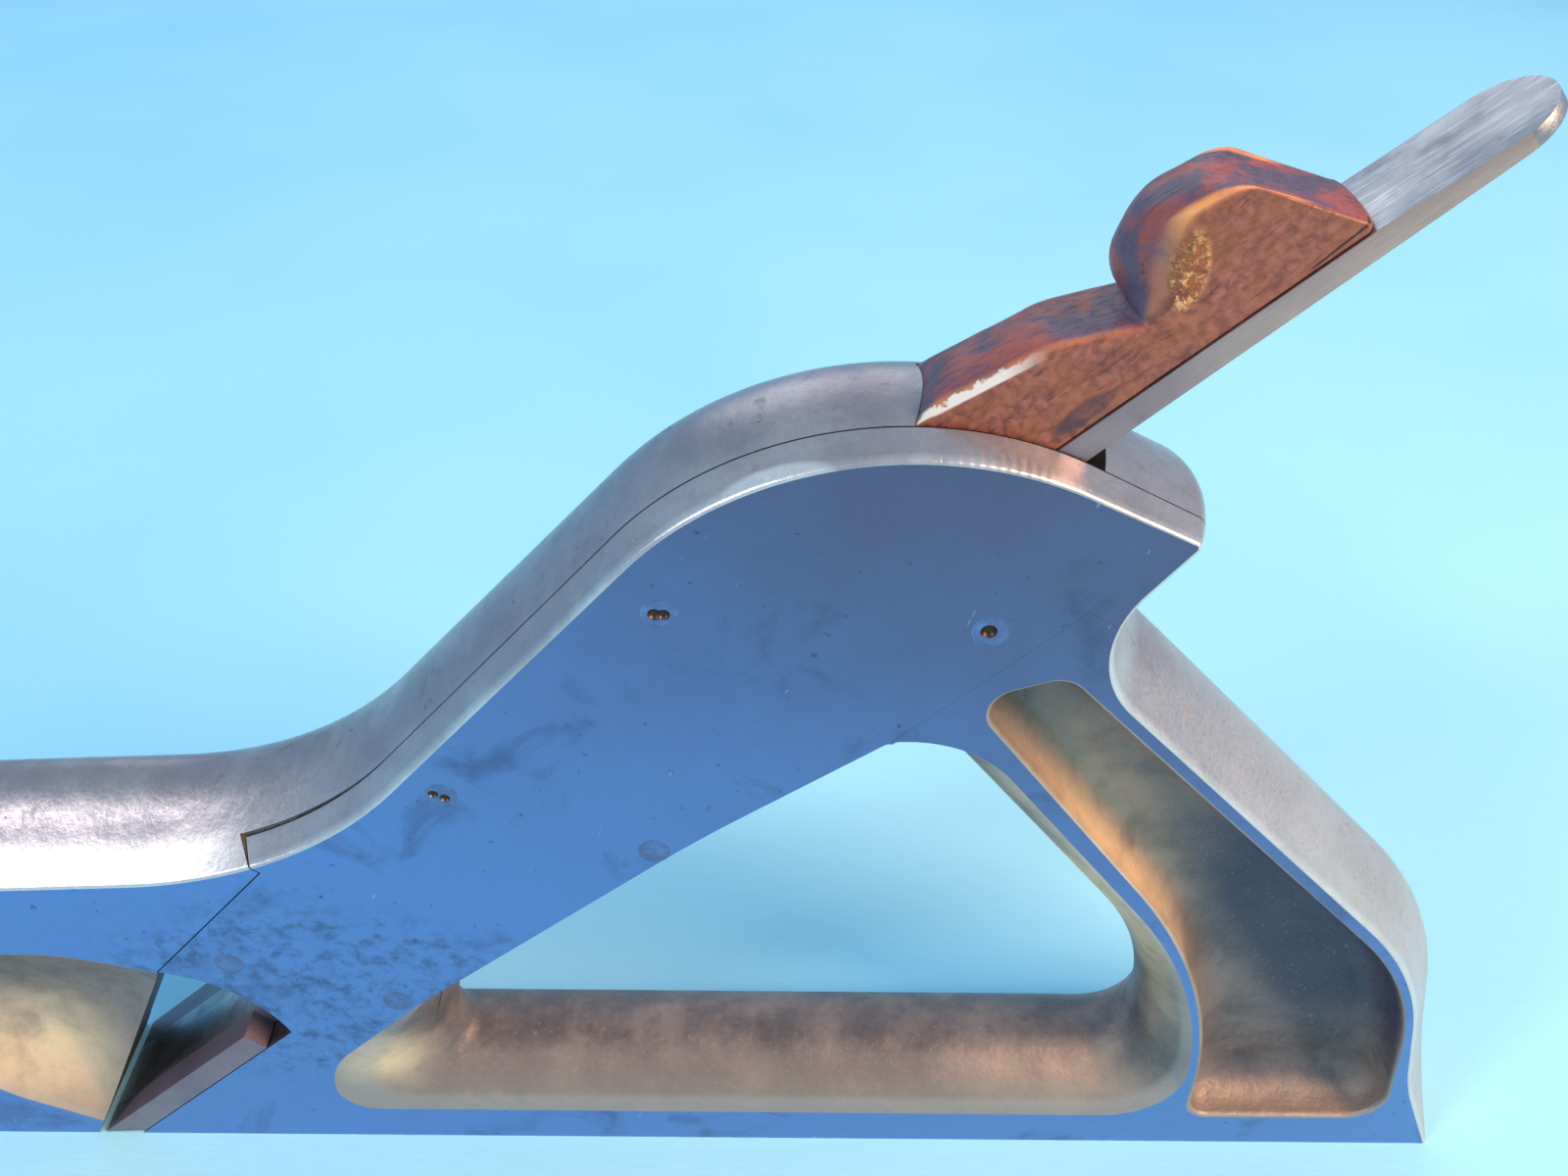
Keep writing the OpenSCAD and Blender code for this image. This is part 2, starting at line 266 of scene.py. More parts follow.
def corner(a, b, radius, steps):
    """Points of the rounded corner between two lines."""
    turn = (b[2] - a[2]) % 360
    turn = turn - 360 if turn > 180 else turn
    side = 1 if turn > 0 else -1
    tip = meet(a, b)
    if steps == 0 or radius == 0:
        return [tip] * (steps * fine + 1)
    start = tip - along(a[2]) * radius * tan(radians(abs(turn) / 2))
    centre = start + along(a[2] + 90 * side) * radius
    count = steps * fine
    return [centre + along(a[2] - 90 * side + turn * k / count) * radius for k in range(count + 1)]


def outline(lines, turns):
    """Closed outline of lines whose corners are rounded by turns of radius and steps."""
    points = []
    for i, line in enumerate(lines):
        points += corner(line, lines[(i + 1) % len(lines)], *turns[i])
    return points


def edge(x, z, heading, rise, lean=0):
    """A line and its partner moved out by a rise and turned by lean degrees."""
    out = along(heading - 90) * rise
    return ((x, z, heading), (x + out.x, z + out.y, heading + lean))


def swell(rise, y, lean):
    """Share of the full rise at the depth y of a rounded edge."""
    w = half_width
    s = min(w, max(-w, y - lean * (1 - y * y / (w * w))))
    if rise < 0.01:
        return 0
    if rise >= w:
        return sqrt(max(0, 1 - s * s / (w * w)))
    r = (w * w + rise * rise) / (2 * rise)
    return (sqrt(r * r - s * s) - r + rise) / rise


def raised(rise, y, lean):
    """Share of the rise, with the near rim filed to a straight slope, wider on the high toe."""
    bevel = min(wide_bevel, max(bevel_depth, bevel_depth + (rise - 3.6) * 0.6))
    foot = -half_width + bevel
    share = swell(rise, y, lean)
    if y < foot:
        share = max(share, swell(rise, foot, lean) * (y + half_width) / bevel)
    return share


def worn(y):
    """How far the rim is worn back at the depth y."""
    left = max(0.0, 1 - (half_width - abs(y)) / rim_wear)
    return rim_wear * (1 - sqrt(max(0.0, 1 - left * left)))


def depths():
    """Depths from the near side to the far side, close together at the rims."""
    near = [-half_width + rim_wear * (1 - cos(radians(a))) for a in (0, 22, 45, 66)]
    inner = half_width - rim_wear
    middle = [inner * sin(radians(-90 + 180 * k / depth_steps)) for k in range(depth_steps + 1)]
    return near + middle + [-y for y in reversed(near)]


def level(rim, crest, y, lean, wear=1):
    """One level of a rounded edge between the rim and the crest."""
    points = []
    for p, q in zip(rim, crest):
        rise = (q - p).length
        share = raised(rise, y, lean * rise)
        back = (q - p) / rise * worn(y) * wear if rise > 0.01 else Vector((0, 0))
        place = p + (q - p) * share - back
        points.append((place.x, y, place.y))
    return points


def shell(name, loops):
    """Closed skin through loops of points: a grid whose seam and ends are closed."""
    count = len(loops[0])
    bpy.ops.mesh.primitive_grid_add(x_subdivisions=count, y_subdivisions=len(loops) - 1)
    piece = bpy.context.object
    piece.name = name
    for j, loop in enumerate(loops):
        for i in range(count + 1):
            piece.data.vertices[j * (count + 1) + i].co = Vector(loop[i % count]) * mm
    bpy.ops.object.mode_set(mode="EDIT")
    bpy.ops.mesh.select_all(action="SELECT")
    bpy.ops.mesh.remove_doubles(threshold=0.000002)
    bpy.ops.mesh.fill_holes(sides=0)
    bpy.ops.mesh.normals_make_consistent(inside=False)
    bpy.ops.object.mode_set(mode="OBJECT")
    bpy.ops.object.select_all(action="DESELECT")
    return piece


def carve(piece, tool, operation="DIFFERENCE", finish=None):
    """Cuts a tool out of a piece, or joins or meets them; the cut faces get a finish."""
    if finish:
        tool.data.materials.clear()
        tool.data.materials.append(finish)
    change = piece.modifiers.new("carve", "BOOLEAN")
    change.operation = operation
    change.solver = "EXACT"
    change.material_mode = "TRANSFER"
    change.object = tool
    bpy.context.view_layer.objects.active = piece
    bpy.ops.object.modifier_apply(modifier=change.name)
    bpy.data.objects.remove(tool)


def mirrored(piece, name):
    """Copy of a piece on the other side of the mid plane."""
    made = piece.copy()
    made.data = piece.data.copy()
    made.name = name
    bpy.context.scene.collection.objects.link(made)
    made.data.transform(Matrix.Scale(-1, 4, (0, 1, 0)))
    made.data.flip_normals()
    return made


def prism(name, points, low, high):
    """Straight prism along Y over points given as x, z."""
    return shell(name, [[(p[0], y, p[1]) for p in points] for y in (low, high)])


def outer_skin(name, crown):
    """Whole outside of the plane, with the toe's rounding as high as crown."""
    edges = [
        ((0, 0, 0), (0, 0, 0)),
        ((half_length, 0, 115), (half_length + heel_crown, 0, 103.6)),
        edge(117.2, 20, 103.5, strut_crown + 1, 1),
        edge(103.1, 46.5, 134.4, strut_crown),
        edge(76.3, 96.2, 55, 2.7),
        edge(73.6, 97.4, 154.3, 1.5, -3.4),
        edge(24.3, 90.4, 228.6, 3.1, -1),
        edge(-37, toe_height, 183.2, crown),
        ((-half_length, 0, 250.2), (-half_length, 0, 270)),
    ]
    rim_turns = [(0, 0), (40, 2), (40, 5), (11, 5), (0.6, 2), (33, 8), (45, 8), (28, 6), (0, 0)]
    crest_turns = [(0, 0), (500, 2), (43, 5), (7, 5), (2.5, 2), (35, 8), (40, 8), (33, 6), (0, 0)]
    rim = outline([e[0] for e in edges], rim_turns)
    crest = outline([e[1] for e in edges], crest_turns)
    return shell(name, [level(rim, crest, y, crown_lean) for y in depths()])


def opening_tool():
    """Handle opening: round bar below, round strut behind, spoon shaped front end."""
    edges = [
        edge(36, bar_height, 0, -bar_crown),
        edge(90.6, 17, 95, -5.2),
        edge(70.7, 57.5, 127.4, -3.6),
        edge(55, 72.6, 180, 0),
        edge(50.6, 72.2, 217.2, 0),
        edge(2.9, 32.4, 221.4, 0),
        ((-5.6, 24.1, 226), (2.9, 32.4, 260)),
        ((-13.95, 10.8, 270), (0.9, 17, 300)),
    ]
    rim_turns = [(9, 4), (55, 6), (13, 5), (1.5, 1), (150, 2), (10, 3), (10.5, 4), (4.5, 4)]
    crest_turns = [(6, 4), (45, 6), (4.6, 5), (1, 1), (150, 2), (5, 3), (4, 4), (2, 4)]
    rim = outline([e[0] for e in edges], rim_turns)
    crest = outline([e[1] for e in edges], crest_turns)
    loops = [level(rim, crest, y, 0) for y in depths()]
    for loop, y in ((loops[0], -half_width - past), (loops[-1], half_width + past)):
        loops.insert(0 if y < 0 else len(loops), [(p[0], y, p[2]) for p in loop])
    return shell("opening_tool", loops)


pocket_depth = 6
pocket_fillet = 3.6
low_fillet = 5
wide_fillet = 6
pocket_lip = 0.8


def pocket_tool():
    """Hollow in the near side of the strut with a rounded floor edge."""
    edges = [
        edge(100, bar_height, 0, -low_fillet),
        edge(116.2, 15, 98.5, -pocket_fillet),
        edge(93.3, 54, 134.4, -pocket_fillet),
        edge(64, 79.9, 200, -pocket_fillet),
        edge(68.4, 64.5, 307, -pocket_fillet),
        edge(92.5, 14, 272, -wide_fillet),
    ]
    rim = outline([e[0] for e in edges], [(4.5, 4), (36, 5), (3, 3), (3, 4), (66, 6), (3, 3)])
    floor = outline([e[1] for e in edges], [(2, 4), (32, 5), (0.8, 3), (0.8, 4), (68, 6), (1, 3)])

    def ply(share, y):
        return [(p.x, y, p.y) for p in (a + (b - a) * share for a, b in zip(rim, floor))]

    loops = [ply(-0.09, -half_width - past), ply(-0.09, -half_width), ply(-0.03, -half_width + 0.1)]
    loops.append(ply(0, -half_width + 0.4))
    for step in range(13):
        angle = radians(90 - 7.5 * step)
        y = -half_width + pocket_lip + (pocket_depth - pocket_lip) * cos(angle)
        loops.append(ply(1 - sin(angle), y))
    return shell("pocket_tool", loops)


scoop_depth = 5


def scoop_tool():
    """Finger hollow beside the throat, a shallow bowl that runs out into the throat."""
    lines = [
        (-34, 20, 63.4), (-33, 35.7, 162), (-42.5, 37.9, 180), (-61, 22, 270), (-51.5, 6.5, 328)]
    rim = outline(lines, [(2, 2), (27, 3), (15.6, 8), (17, 6), (2, 2)])
    middle = Vector((-50, 21.5))
    loops = []
    shares = (-0.08, -0.012, -0.004, 0.01, 0.04, 0.09, 0.15, 0.22, 0.3,
              0.4, 0.5, 0.6, 0.7, 0.8, 0.9, 0.97)
    for share in shares:
        y = -half_width + scoop_depth * (1 - (1 - share) ** 2)
        ring = [p + (middle - p) * share for p in rim]
        loops.append([(p.x, y, p.y) for p in ring])
    return shell("scoop_tool", loops)


bed_angle = 43.6
mouth_x = -41.6
edge_height = 0.25
edge_clearance = 3.6
blade_thickness = 3.3
blade_length = 194
shoulder_height = 28.6
slide_clearance = 0.15
mouth_gap = 0.8
throat_slope = 63.4
throat_radius = 17
throat_middle = (18.5, 7.5)
plate_thickness = 3.4
channel_width = body_width - 2 * plate_thickness
wedge_angle = 4.4
wedge_exit_u = 139.5
wall_exit_v = 12.5


def on_bed(u, v):
    """Point of the mid plane u up the bed and v square to it, as x, z."""
    a = radians(bed_angle)
    return (mouth_x + u * cos(a) - v * sin(a), u * sin(a) + v * cos(a))


def wall_top(u):
    """Distance of the front wall of the channel from the bed."""
    return wall_exit_v - (wedge_exit_u - u) * tan(radians(wedge_angle))


cut_u = (edge_height - blade_thickness * cos(radians(bed_angle))) / sin(radians(bed_angle))
cut_x = on_bed(cut_u, blade_thickness)[0]
lip_offset = cut_x - mouth_gap - edge_height / tan(radians(throat_slope)) - mouth_x
lip = (lip_offset * cos(radians(bed_angle)), -lip_offset * sin(radians(bed_angle)))
wall_heading = radians(throat_slope - bed_angle)


def throat_tool():
    """Throat under its arched roof, open through both sides and the sole."""
    def wall_at(u):
        return lip[1] + (u - lip[0]) * tan(wall_heading)

    low = prism("throat_low", [on_bed(*p) for p in (
        (-4, -slide_clearance), (throat_middle[0], -slide_clearance),
        (throat_middle[0], wall_at(throat_middle[0])),
        (lip[0] - 6 * cos(wall_heading), lip[1] - 6 * sin(wall_heading)), (-9, -6))],
        -half_width - past, half_width + past)
    high = prism("throat_high", [on_bed(*p) for p in (
        (throat_middle[0] - 1, -slide_clearance), (60, -slide_clearance), (60, 60),
        (lip[0] + 60 * cos(wall_heading), lip[1] + 60 * sin(wall_heading)),
        (throat_middle[0] - 1, wall_at(throat_middle[0] - 1)))],
        -half_width - past, half_width + past)
    centre = on_bed(*throat_middle)
    bpy.ops.mesh.primitive_cylinder_add(
        vertices=160, radius=throat_radius * mm, depth=(body_width + 2 * past) * mm,
        location=(centre[0] * mm, 0, centre[1] * mm), rotation=(pi / 2, 0, 0))
    arch = bpy.context.object
    bpy.ops.object.transform_apply()
    carve(high, arch, "INTERSECT")
    carve(low, high, "UNION")
    return low


def channel_tool():
    """Channel for the blade and the wedge, relieved behind the blade near its top."""
    start = throat_middle[0]
    return prism("channel_tool", [on_bed(*p) for p in (
        (start, -slide_clearance), (112, -slide_clearance), (170, -2.7), (170, wall_top(170)),
        (start + 8, wall_top(start + 8)), (start, 4))], -channel_width / 2, channel_width / 2)


def plate_zone(gap, tight, thickness):
    """Space of the side plate between its seams, with a tighter gap along its lower edge."""
    lines = [
        (-12, 22.45 + tight, 358), (30, 46, 42), (50.5 + tight / 2, 60, 90),
        (59.8 - tight * 0.7, 81.1 + tight * 0.7, 44.6),
        (69 + tight * 0.56, 87.95 + tight * 0.83, 326),
        (95, 90, 90), (60, 125, 180), (-60, 100, 270),
        (-14.1 + gap * 0.67, 52.3 + gap * 0.74, 318),
        (-21.9 + gap * 0.74, 43.6 - gap * 0.67, 228.1), (-29.8, 34.7, 292)]
    points = [meet(line, lines[(i + 1) % len(lines)]) for i, line in enumerate(lines)]
    return prism("plate_zone", points, -half_width - past, -half_width + thickness)


pin_diameter = 3.4
pin_places = {
    "pin_crown": (29.7, 88.2), "pin_tail": (59.1, 86.5), "pin_flank": (6.8, 64.4),
    "pin_middle": (27.6, 56.4), "pin_toe": (-21.1, 36.5), "pin_low": (-3.4, 29.6)}


def pin_tool(place, diameter):
    """Straight round bar through both sides."""
    bpy.ops.mesh.primitive_cylinder_add(
        vertices=48, radius=diameter / 2 * mm, depth=(body_width + 2 * past) * mm,
        location=(place[0] * mm, 0, place[1] * mm), rotation=(pi / 2, 0, 0))
    bpy.ops.object.transform_apply()
    return bpy.context.object


def shade(piece, angle):
    """Smooth surfaces broken at edges sharper than an angle, with the flat sides kept flat."""
    bpy.ops.object.select_all(action="DESELECT")
    piece.select_set(True)
    bpy.context.view_layer.objects.active = piece
    bpy.ops.object.shade_smooth_by_angle(angle=radians(angle))
    for face in piece.data.polygons:
        if abs(face.normal.y) > 0.99999 or face.normal.z < -0.99999:
            face.use_smooth = False
    piece.select_set(False)


# Painted reflection: the flat sides are tinted blue as if mirroring the card, and turn grey where that
# painted reflection fades.
reflected_card_blue = (0.175, 0.285, 0.58, 1)
faded_reflection_grey = (0.135, 0.115, 0.17, 1)
stain_black = (0.055, 0.065, 0.11, 1)
rust_brown = (0.16, 0.075, 0.035, 1)
nick_grey = (0.5, 0.5, 0.5, 1)
filed_dark = (0.33, 0.28, 0.30, 1)
filed_pale = (0.45, 0.39, 0.40, 1)
filed_stain = (0.17, 0.14, 0.135, 1)
# Light of worn rims, also used for a painted highlight
wear_and_highlight_bright = (0.80, 0.73, 0.69, 1)
# Painted light on the back of the casting
lit_back_tan = (0.84, 0.62, 0.55, 1)
cast_dark = (0.125, 0.098, 0.098, 1)
cast_brown = (0.25, 0.185, 0.165, 1)
cast_soot = (0.075, 0.055, 0.05, 1)
# Painted shadow in the strut hollow
painted_shadow_navy = (0.032, 0.038, 0.08, 1)
# Painted light on the near side of the bar
lit_bar_tan = (0.40, 0.28, 0.21, 1)
# Rubbed wear, also used for painted light and a painted highlight
rubbed_and_lit_gold = (1.0, 0.64, 0.36, 1)
grit_tan = (0.46, 0.36, 0.30, 1)
rim_tan = (0.50, 0.44, 0.40, 1)
cut_dark = (0.085, 0.07, 0.065, 1)
cut_brown = (0.20, 0.165, 0.145, 1)
cut_bright = (0.32, 0.28, 0.25, 1)
# Scoop, spoon end of the opening and wall of the strut hollow: rubbed wear with painted light and a
# painted highlight
rubbed_and_lit_places = (
    ((-52, -4, 14), (17, 12, 15)), ((-8, -7, 17), (9, 6, 8)), ((74, -6, 48), (20, 6, 44)))
# A filed facet on the hump, made lighter as a painted highlight too
filed_facet_and_highlight = (40, -half_width, 101.5)
toe_pit = (-83, 1.5, 55)
chatter_place = (58, -half_width, 102)


def ground_iron(name):
    """Flat side, ground and rubbed bright, with old stains, specks and fine scratches, and a painted
    reflection of the blue card that fades to grey higher up.
    """
    material = new_material(name)
    tree = material.node_tree
    place = in_mm(tree)
    split = add_node(tree, "ShaderNodeSeparateXYZ", {0: place})
    # Painted reflection: blue low down, fading to grey higher up and further back, with clouds along the
    # border.
    height = maths(tree, "MULTIPLY_ADD", split.outputs[0], 0.35, split.outputs[2])
    clouds = noise(tree, place, 22, 5.0)
    height = maths(tree, "ADD", height, maths(tree, "MULTIPLY", clouds, 40.0))
    colour = blend_colour(tree, between(tree, height, 65, 158), reflected_card_blue, faded_reflection_grey)
    low = spot(tree, place, (-12, -half_width, 30), (26, 6, 17))
    cloudy = between(tree, noise(tree, place, 12, 6.0, 0.62, 0.5), 0.54, 0.74, 0, 0.45)
    colour = blend_colour(tree, cloudy, colour, stain_black)
    speck = between(tree, noise(tree, place, 1.3, 4.0, 0.6), 0.66, 0.74, 0, 0.7)
    colour = blend_colour(tree, speck, colour, stain_black)
    blotch = maths(tree, "MULTIPLY", between(tree, noise(tree, place, 2.6, 8.0, 0.72, 0.2), 0.44, 0.68),
                   maths(tree, "MULTIPLY", low, 0.6))
    colour = blend_colour(tree, blotch, colour, stain_black)
    scratch = noise(tree, in_mm(tree, (0.03, 1, 1), radians(38)), 0.2, 3.0, 0.5)
    cross = noise(tree, in_mm(tree, (0.04, 1, 1), radians(-52)), 0.16, 3.0, 0.5)
    nick = between(tree, noise(tree, in_mm(tree, (0.25, 1, 1), radians(70)), 0.9, 2.0, 0.4), 0.745, 0.77)
    colour = blend_colour(tree, maths(tree, "MULTIPLY", nick, 0.5), colour, nick_grey)
    marks = maths(tree, "ADD", scratch, cross)
    rough = between(tree, marks, 0.8, 1.25, 0.30, 0.42)
    rough = maths(tree, "ADD", rough, maths(tree, "MULTIPLY", cloudy, 0.25))
    normal = bump(tree, marks, 0.006, bump(tree, clouds, 0.25))
    return finish_material(material, colour, rough, 0.92, normal)


def filed_iron(name):
    """Outer rounding, filed by hand and worn smooth, with worn rims and a painted highlight along its near
    edge.
    """
    material = new_material(name)
    tree = material.node_tree
    place = in_mm(tree)
    split = add_node(tree, "ShaderNodeSeparateXYZ", {0: place})
    depth = maths(tree, "ABSOLUTE", split.outputs[1])
    clouds = noise(tree, place, 10, 6.0, 0.6)
    sand = noise(tree, place, 0.45, 5.0, 0.65)
    lumps = noise(tree, place, 7, 3.0)
    strokes = noise(tree, in_mm(tree, (1, 0.12, 1)), 0.8, 4.0, 0.6)
    colour = blend_colour(tree, between(tree, clouds, 0.36, 0.66), filed_dark, filed_pale)
    dark = between(tree, noise(tree, place, 2.2, 6.0, 0.65, 0.4), 0.56, 0.72, 0, 0.5)
    colour = blend_colour(tree, dark, colour, filed_stain)
    pits = between(tree, noise(tree, place, 1.0, 3.0, 0.55), 0.70, 0.77)
    colour = blend_colour(tree, maths(tree, "MULTIPLY", pits, 0.8), colour, rust_brown)
    rim = between(tree, depth, half_width - 1.3, half_width - 0.2, 0, 0.7)
    rim = maths(tree, "MULTIPLY", rim, between(tree, clouds, 0.3, 0.6, 0.5, 1))
    # Spot on the hump: partly a filed facet, partly a painted highlight.
    patch = spot(tree, place, filed_facet_and_highlight, (6, 1.6, 4))
    rim = maths(tree, "MAXIMUM", rim, patch)
    # Painted highlight: a light band along the near rim, full on the toe and faint further back.
    near = between(tree, split.outputs[1], -3.2, -5.6)
    near = maths(tree, "MULTIPLY", near, between(tree, split.outputs[0], -10, -26, 0.15, 1))
    rim = maths(tree, "MAXIMUM", rim, near)
    # Painted light: the back of the casting is made lighter and tan, where the warm lamp falls on the
    # strut.
    back = between(tree, split.outputs[0], 66, 90, 0, 0.5)
    back = maths(tree, "MULTIPLY", back, between(tree, sand, 0.34, 0.60, 0.6, 1))
    colour = blend_colour(tree, back, colour, lit_back_tan)
    colour = blend_colour(tree, rim, colour, wear_and_highlight_bright)
    colour = blend_colour(tree, spot(tree, place, toe_pit, (1.5, 1.0, 1.5)), colour, rust_brown)
    rough = between(tree, sand, 0.3, 0.72, 0.27, 0.40)
    rough = maths(tree, "ADD", rough, maths(tree, "MULTIPLY", dark, 0.2))
    waves = add_node(tree, "ShaderNodeTexWave", {
        "Vector": place, "Scale": 0.36, "Distortion": 3.0, "Detail": 2.0, "Detail Scale": 0.5})
    chatter = maths(tree, "MULTIPLY", waves.outputs["Fac"], spot(tree, place, chatter_place, (5, 2.5, 4)))
    normal = bump(tree, lumps, 0.16)
    normal = bump(tree, strokes, 0.02, normal)
    normal = bump(tree, chatter, 0.02, normal)
    normal = bump(tree, maths(tree, "SUBTRACT", sand, pits), 0.022, normal)
    return finish_material(material, colour, rough, 0.7, normal)


def cast_iron(name):
    """Hollows left as cast, grained by the sand and brown with old oil, with painted shadow and painted
    light laid over them.
    """
    material = new_material(name)
    tree = material.node_tree
    place = in_mm(tree)
    split = add_node(tree, "ShaderNodeSeparateXYZ", {0: place})
    depth = maths(tree, "ABSOLUTE", split.outputs[1])
    clouds = noise(tree, place, 8, 6.0, 0.62)
    sand = noise(tree, place, 0.55, 6.0, 0.7)
    lumps = noise(tree, place, 3.6, 3.0, 0.5)
    colour = blend_colour(tree, between(tree, clouds, 0.36, 0.66), cast_dark, cast_brown)
    dark = between(tree, noise(tree, place, 2.2, 7.0, 0.7, 0.1), 0.5, 0.72, 0, 0.5)
    colour = blend_colour(tree, dark, colour, cast_soot)
    grit = between(tree, sand, 0.56, 0.70, 0, 0.4)
    # Painted shadow: the back part of the strut hollow is darkened to navy, as if shaded by its rim.
    slant = maths(tree, "ADD", split.outputs[0], maths(tree, "MULTIPLY", split.outputs[2], 0.62))
    pocket_shadow = between(tree, maths(tree, "ADD", slant, maths(tree, "MULTIPLY", clouds, 4.0)), 114, 121)
    pocket_shadow = maths(tree, "MULTIPLY", pocket_shadow, between(tree, split.outputs[2], 12, 26, 0, 0.85))
    pocket_shadow = maths(tree, "MULTIPLY", pocket_shadow, between(tree, depth, half_width - 0.6, half_width - 2.0))
    colour = blend_colour(tree, pocket_shadow, colour, painted_shadow_navy)
    # Painted light: the near side of the bar, low down, is made lighter and tan.
    near = between(tree, split.outputs[1], -1.5, -5.5, 0, 0.6)
    near = maths(tree, "MULTIPLY", near, between(tree, split.outputs[2], 16, 10))
    colour = blend_colour(tree, near, colour, lit_bar_tan)
    # Golden spots: partly rubbed wear, partly painted light where the warm lamp falls, with a painted
    # highlight at the spoon end.
    for middle, reach in rubbed_and_lit_places:
        rubbed = maths(tree, "MULTIPLY", spot(tree, place, middle, reach, 0.0),
                       between(tree, clouds, 0.3, 0.6, 0.5, 1))
        colour = blend_colour(tree, rubbed, colour, rubbed_and_lit_gold)
    colour = blend_colour(tree, grit, colour, grit_tan)
    rim = between(tree, depth, half_width - 0.7, half_width - 0.2, 0, 0.35)
    colour = blend_colour(tree, rim, colour, rim_tan)
    rough = between(tree, sand, 0.3, 0.72, 0.34, 0.52)
    normal = bump(tree, lumps, 0.30)
    normal = bump(tree, sand, 0.09, normal)
    return finish_material(material, colour, rough, 0.25, normal)


def cut_iron(name):
    """Walls of the throat, the channel and the plate's seat, cut and dark with oil."""
    material = new_material(name)
    tree = material.node_tree
    place = in_mm(tree)
    clouds = noise(tree, place, 4, 5.0)
    strokes = noise(tree, in_mm(tree, (1, 0.08, 1)), 0.35, 4.0, 0.6)
    colour = blend_colour(tree, between(tree, clouds, 0.35, 0.68), cut_dark, cut_brown)
    colour = blend_colour(tree, between(tree, strokes, 0.5, 0.72, 0, 0.5), colour, cut_bright)
    return finish_material(material, colour, between(tree, strokes, 0.3, 0.7, 0.34, 0.5), 0.8,
                           bump(tree, strokes, 0.03, bump(tree, clouds, 0.08)))


ground = ground_iron("iron_ground")
filed = filed_iron("iron_filed")
cast = cast_iron("iron_cast")
cut = cut_iron("iron_cut")


def face_finish(piece, finish):
    """Gives the flat sides and the sole of a piece their own finish."""
    piece.data.materials.append(finish)
    slot = len(piece.data.materials) - 1
    for face in piece.data.polygons:
        middle = face.center / mm
        side = abs(face.normal.y) > 0.9999 and abs(middle.y) > half_width - 0.01
        if side or (face.normal.z < -0.9999 and middle.z < 0.01):
            face.material_index = slot


casting = outer_skin("iron_casting", toe_crown)
casting.data.materials.append(filed)
carve(casting, opening_tool(), finish=cast)
for tool in (throat_tool(), channel_tool(), plate_zone(0, 0, plate_thickness)):
    carve(casting, tool, finish=cut)
for make in (pocket_tool, scoop_tool):
    near = make()
    far = mirrored(near, "far_tool")
    carve(casting, near, finish=cast)
    carve(casting, far, finish=cast)
for place in pin_places.values():
    carve(casting, pin_tool(place, pin_diameter), finish=cut)
face_finish(casting, ground)
shade(casting, smooth_angle)
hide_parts("casting")
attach(casting, "plane_body")

# Side plate
# Rolled iron plate let into the near side, flush with the casting, that closes the channel.
# Its top edge is filed to the shape of the casting after the pins are set.
seam_width = 0.15
tight_seam = 0.02
back_seam = 0.14
plate_crown = toe_crown * 0.42

side_plate = outer_skin("iron_side_plate", plate_crown)
side_plate.data.materials.append(filed)
carve(side_plate, plate_zone(seam_width, tight_seam, plate_thickness - back_seam), "INTERSECT", finish=cut)
carve(side_plate, opening_tool(), finish=cast)
carve(side_plate, throat_tool(), finish=cut)
carve(side_plate, scoop_tool(), finish=cast)
for place in pin_places.values():
    carve(side_plate, pin_tool(place, pin_diameter), finish=cut)
face_finish(side_plate, ground)
shade(side_plate, smooth_angle)
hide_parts("side_plate")
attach(side_plate, "plane_body")

# Pins
# Six soft iron pins hold the plate and are hammered and filed flush on both sides.
# Four show only as faint rings, and two have pits where the file did not reach.
pin_pits = {
    "pin_crown": ((-0.45, -0.1, 0.68), (0.35, -0.1, 0.62)),
    "pin_tail": ((-0.15, 0.0, 0.8),),
    "pin_flank": ((-0.7, 0.25, 0.55), (0.4, -0.3, 0.55)),
    "pin_middle": (),
    "pin_toe": (),
    "pin_low": (),
}
ring_width = 0.16
ring_depth = 0.05
pin_grey = (0.145, 0.18, 0.33, 1)
pin_blue = (0.175, 0.25, 0.47, 1)
pit_rust = (0.10, 0.05, 0.03, 1)
pin_iron = new_material("pin_iron")
tree = pin_iron.node_tree
place = in_mm(tree)
split = add_node(tree, "ShaderNodeSeparateXYZ", {0: place})
depth = maths(tree, "ABSOLUTE", split.outputs[1])
sunk = between(tree, depth, half_width - 0.25, half_width - 0.03)
clouds = noise(tree, place, 1.6, 4.0)
face = blend_colour(tree, between(tree, clouds, 0.35, 0.7), pin_grey, pin_blue)
colour = blend_colour(tree, sunk, pit_rust, face)
grain = noise(tree, place, 0.3, 4.0)
finish_material(pin_iron, colour, between(tree, grain, 0.3, 0.7, 0.32, 0.5), 0.85, bump(tree, grain, 0.02))

